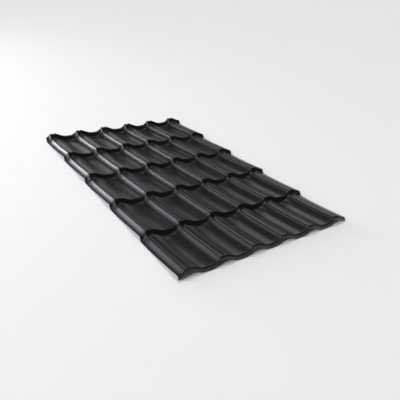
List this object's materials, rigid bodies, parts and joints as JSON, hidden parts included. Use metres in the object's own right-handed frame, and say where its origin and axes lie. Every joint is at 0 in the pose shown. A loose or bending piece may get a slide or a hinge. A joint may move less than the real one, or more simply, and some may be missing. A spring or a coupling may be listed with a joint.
{
  "type": "tile effect metal roofing sheet",
  "caption": "Pressed steel roofing sheet shaped like rows of clay tiles: a twin-ridged wave across it and stepped courses up its length.",
  "frame": {"origin": "middle of the sheet, on the floor that its pans lie on", "axes": "+X across the sheet to the right seen from the eave, +Y up the slope from the eave edge to the head edge, +Z out of the weather face"},
  "size_m": [1.141, 1.7776, 0.0551],
  "materials": {
    "colour_coated_steel": "galvanized steel with a black satin colour coat"
  },
  "bodies": {
    "root": {"tile_sheet": "colour_coated_steel"}
  },
  "joints": []
}
